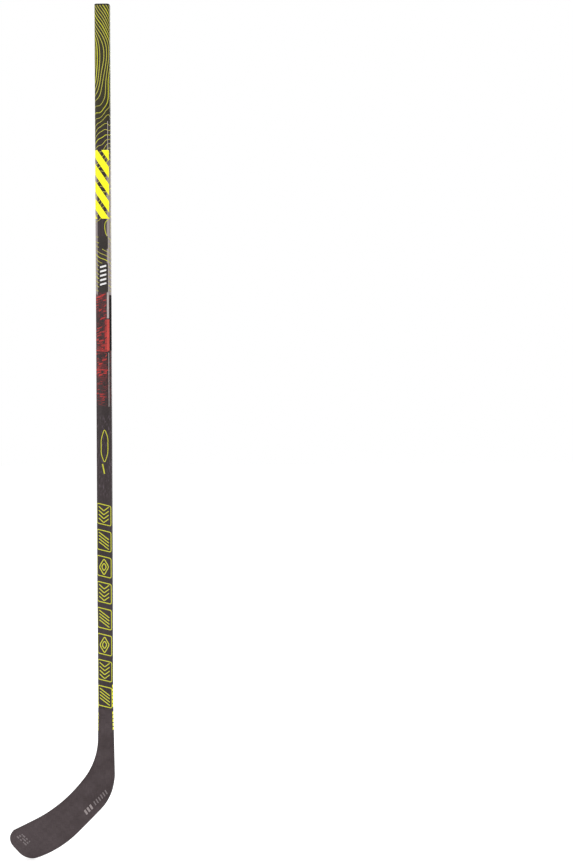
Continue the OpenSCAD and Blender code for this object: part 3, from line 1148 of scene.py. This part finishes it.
def print_blade_marks(inks):
    """Bars and dashes by the heel and a small block of dashes at the toe, on both faces"""
    run = Vector((math.cos(math.radians(45)), math.sin(math.radians(45))))
    rise = Vector((-run.y, run.x))

    def quad(start, at, across_at, long, tall, lean=0.0):
        low = Vector(start) + run * at + rise * across_at
        high = low + run * lean + rise * tall
        return wound([tuple(p) for p in (low, low + run * long, high + run * long, high)])

    heel, toe = (-38, -40), (-150, -99)
    bars = [quad(heel, 7.4 * k, 0, 4.2, 9.5, 2.0) for k in range(3)]
    dashes = [quad(heel, 26 + 6.2 * k, 0.5, 2.4, 8.5, 2.0) for k in range(6)]
    dashes += [quad(toe, -4 - 5.4 * row, 1.5 + 6.6 * k, 3, 2.2 + 1.7 * ((row + k) % 3))
               for row in range(3) for k in range(4)]
    cuts = [(0, np.arange(-190.0, 20.0, 4.0)), (1, np.arange(-150.0, 60.0, 4.0))]
    for side, word in ((-1, "backhand"), (1, "forehand")):
        def on_face(x, h, lift):
            p = Vector((x, h))
            return in_frame(p, side * (half_t(p) + lift))
        for kind, shapes, ink_name in (("bars", bars, "mark_grey"), ("dashes", dashes, "mark_faint")):
            ink = Ink()
            for shape in shapes:
                ink.polygon(shape[::-side], cuts)
            ink.print_on(f"{word}_mark_{kind}", on_face, 0.05, inks[ink_name])


def build():
    foam, tenon = foam_material(), laminate_material("tenon_laminate", (58, 56, 56))
    blade = blade_material("matte_blade_laminate", (58, 48, 49), (72, 62, 64))
    rim = blade_material("matte_rim_laminate", (57, 47, 48), (70, 60, 62))
    inks = {key: ink_material("ink_" + key, *values) for key, values in INKS.items()}

    add(end_plug(plug_material()), "end_plug", "plug_plastic", "end_plug")
    ply = shaft_layer("printed_shaft_skin", 0, PLY_T, shaft_material())
    add(ply, "stick", "shaft_print", "shaft_outer_ply")
    tube = shaft_layer("shaft_tube_wall", PLY_T, TUBE_T, laminate_material("tube_laminate", (52, 50, 50)))
    add(tube, "stick", "tube_laminate", "shaft_tube")
    add(blade_skin("blade_backhand_face", -1, blade), "stick", "blade_laminate", "backhand_skin")
    add(blade_skin("blade_forehand_face", 1, blade), "stick", "blade_laminate", "forehand_skin")
    add(blade_rim(rim), "stick", "rim_laminate", "blade_rim")

    unprinted = set(bpy.data.objects)
    print_shaft(inks)
    print_blade_marks(inks)
    for made in sorted(set(bpy.data.objects) - unprinted, key=lambda o: o.name):
        add(made, "stick", "blade_laminate" if "_mark_" in made.name else "shaft_print")

    kept = {"tenon_adhesive": adhesive_material(), "tenon_foam": foam, "hosel_tenon": tenon,
            "upper_core": foam, "lower_core": foam, "core_bridge": tenon}
    for node, material in kept.items():
        for material_slot in frame["nodes"][node].material_slots:
            material_slot.material = material


# ---------------- studio

def floor():
    """A plain square, wide enough to have no edge in any view, just under the toe"""
    lowest, half = rim_low.z - 0.5, 30000
    corners = [(x * half, y * half, lowest) for x, y in ((-1, -1), (1, -1), (1, 1), (-1, 1))]
    made = piece("studio_floor", corners, [(0, 1, 2, 3)], floor_material())


# Soft boxes: each one's place and size in metres, and its power in watts
SOFT_BOXES = {
    "key": ((-1.9, -2.6, 0.2), 2.4, 34),
    "fill": ((2.2, -2.2, -0.7), 2.2, 18),
    "back": ((0.4, 2.6, 0.3), 2.2, 30),
    "top": ((0.0, -0.4, 2.0), 2.0, 20),
}
# How bright the white world is to the camera, to diffuse light and in reflections
WORLD_LIGHT = {"Is Camera Ray": 1.0, "Is Diffuse Ray": 0.6, "Is Glossy Ray": 0.35}


def soft_boxes():
    centre = Vector((0, 0, rim_low.z * MM / 2))
    for name, (place, size, power) in SOFT_BOXES.items():
        data = bpy.data.lights.new(name, "AREA")
        data.size = size
        data.energy = power
        light = into_scene(name, data)
        light.location = place
        light.rotation_euler = (centre - Vector(place)).to_track_quat("-Z", "Y").to_euler()


def white_world():
    world = bpy.data.worlds.new("studio")
    world.use_nodes = True
    tree = world.node_tree
    white = tree.nodes["Background"]
    white.inputs["Color"].default_value = (1, 1, 1, 1)
    rays = tree.nodes.new("ShaderNodeLightPath").outputs
    strength = None
    for ray, amount in WORLD_LIGHT.items():
        part = tree.nodes.new("ShaderNodeMath")
        part.operation = "MULTIPLY_ADD"
        part.inputs[1].default_value = amount
        part.inputs[2].default_value = 0
        tree.links.new(rays[ray], part.inputs[0])
        if strength:
            tree.links.new(strength, part.inputs[2])
        strength = part.outputs[0]
    tree.links.new(strength, white.inputs["Strength"])
    bpy.context.scene.world = world
    bpy.context.scene.view_settings.view_transform = "Standard"


def camera():
    """A camera level with the stick's middle, to its right and looking straight back, barely rolled"""
    right, distance, height, seen_height = 0.3517, 2.4, -0.8283, 1.6731
    sensor = 36
    data = bpy.data.cameras.new("camera")
    data.sensor_width = sensor
    data.lens = sensor * distance / seen_height
    eye = into_scene("camera", data)
    eye.location = (right, -distance, height)
    eye.rotation_euler = (math.radians(90), math.radians(0.285), 0)
    bpy.context.scene.camera = eye


camera()
build()
floor()
soft_boxes()
white_world()
